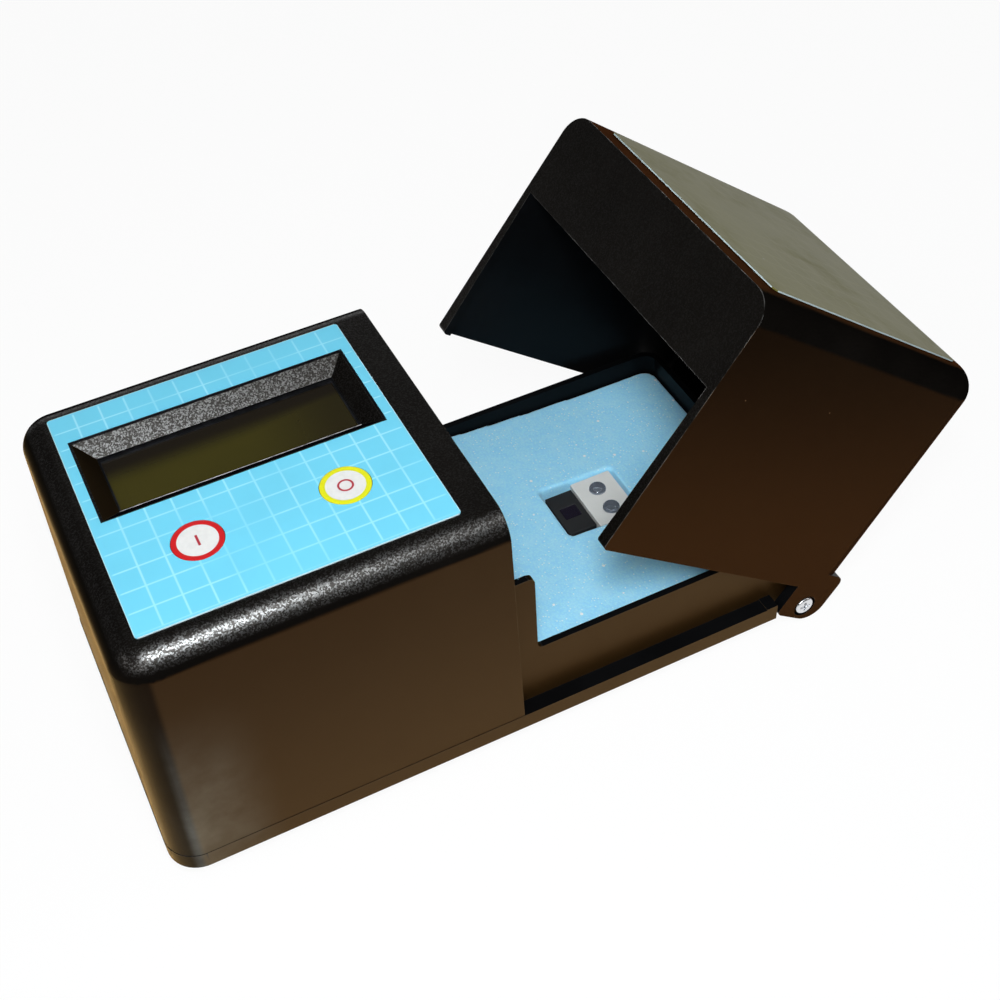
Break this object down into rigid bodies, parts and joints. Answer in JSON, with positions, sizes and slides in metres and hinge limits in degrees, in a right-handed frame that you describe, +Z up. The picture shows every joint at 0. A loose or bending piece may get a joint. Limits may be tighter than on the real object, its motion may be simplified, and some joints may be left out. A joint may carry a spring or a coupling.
{
  "type": "digital egg monitor",
  "caption": "Black plastic instrument that senses the heartbeat inside an egg: a display head with keys beside a foam-lined chamber closed by a hinged lid.",
  "frame": {"origin": "on the table that the feet stand on, under the middle of the whole object with its lid open", "axes": "+X from the control head to the hinge, +Y to the back, where the display is, +Z up"},
  "size_m": [0.2404, 0.1, 0.1242],
  "materials": {
    "case_black": "satin",
    "label_blue": "satin",
    "label_grey": "satin",
    "key_white": "satin",
    "frame_black": "satin",
    "display_glass": "gloss",
    "diffuser": "satin",
    "board_green": "satin",
    "chip_black": "matte",
    "part_metal": "satin",
    "socket_cream": "matte",
    "ribbon_grey": "matte",
    "screw_steel": "satin",
    "bush_brass": "satin",
    "washer_nylon": "satin",
    "foam_blue": "matte",
    "sensor_white": "satin",
    "sensor_black": "matte",
    "emitter_clear": "gloss",
    "battery_can": "satin",
    "lead_rubber": "satin",
    "foot_rubber": "matte"
  },
  "bodies": {
    "base": {"base_case": "case_black", "head_shell": "case_black", "rubber_feet": "foot_rubber", "case_screws": "screw_steel", "battery": "battery_can", "battery_clip": "sensor_black", "battery_leads": "lead_rubber", "front_label": "label_blue", "on_switch": "chip_black", "off_switch": "chip_black", "key_board": "board_green", "key_board_screws": "screw_steel", "key_ribbon": "ribbon_grey", "lcd_frame": "frame_black", "lcd_glass": "display_glass", "lcd_backlight": "diffuser", "lcd_board": "board_green", "lcd_screws": "screw_steel", "lcd_header": "chip_black", "display_ribbon": "ribbon_grey", "main_board": "board_green", "main_board_screws": "screw_steel", "microcontroller": "chip_black", "board_parts": "part_metal", "board_sockets": "socket_cream", "foam_pad": "foam_blue", "sensor_board": "board_green", "sensor_screws": "screw_steel", "sensor_cradle": "sensor_black", "photodiode": "emitter_clear", "emitter_block": "sensor_white", "ir_emitters": "emitter_clear", "sensor_ribbon": "ribbon_grey", "hinge_bushes": "bush_brass", "hinge_washers": "washer_nylon", "hinge_screws": "screw_steel"},
    "lid": {"lid_shell": "case_black", "lid_label": "label_grey"},
    "on_button": {"on_key": "key_white", "on_plunger": "sensor_black"},
    "off_button": {"off_key": "key_white", "off_plunger": "sensor_black"},
    "door": {"battery_door": "case_black"}
  },
  "joints": [
    {"name": "lid_hinge", "type": "hinge", "parent": "base", "child": "lid", "pos_m": [0.06863, 0, 0.0065], "axis": [0, 1, 0], "range_deg": [-38, 0]},
    {"name": "on_press", "type": "slide", "parent": "base", "child": "on_button", "axis": [0, 0, -1], "range_m": [0, 0.0005], "stiffness_N_per_m": 3000, "springref_m": -0.0002},
    {"name": "off_press", "type": "slide", "parent": "base", "child": "off_button", "axis": [0, 0, -1], "range_m": [0, 0.0005], "stiffness_N_per_m": 3000, "springref_m": -0.0002},
    {"name": "door_slide", "type": "slide", "parent": "base", "child": "door", "axis": [-1, 0, 0], "range_m": [0, 0.058]}
  ]
}
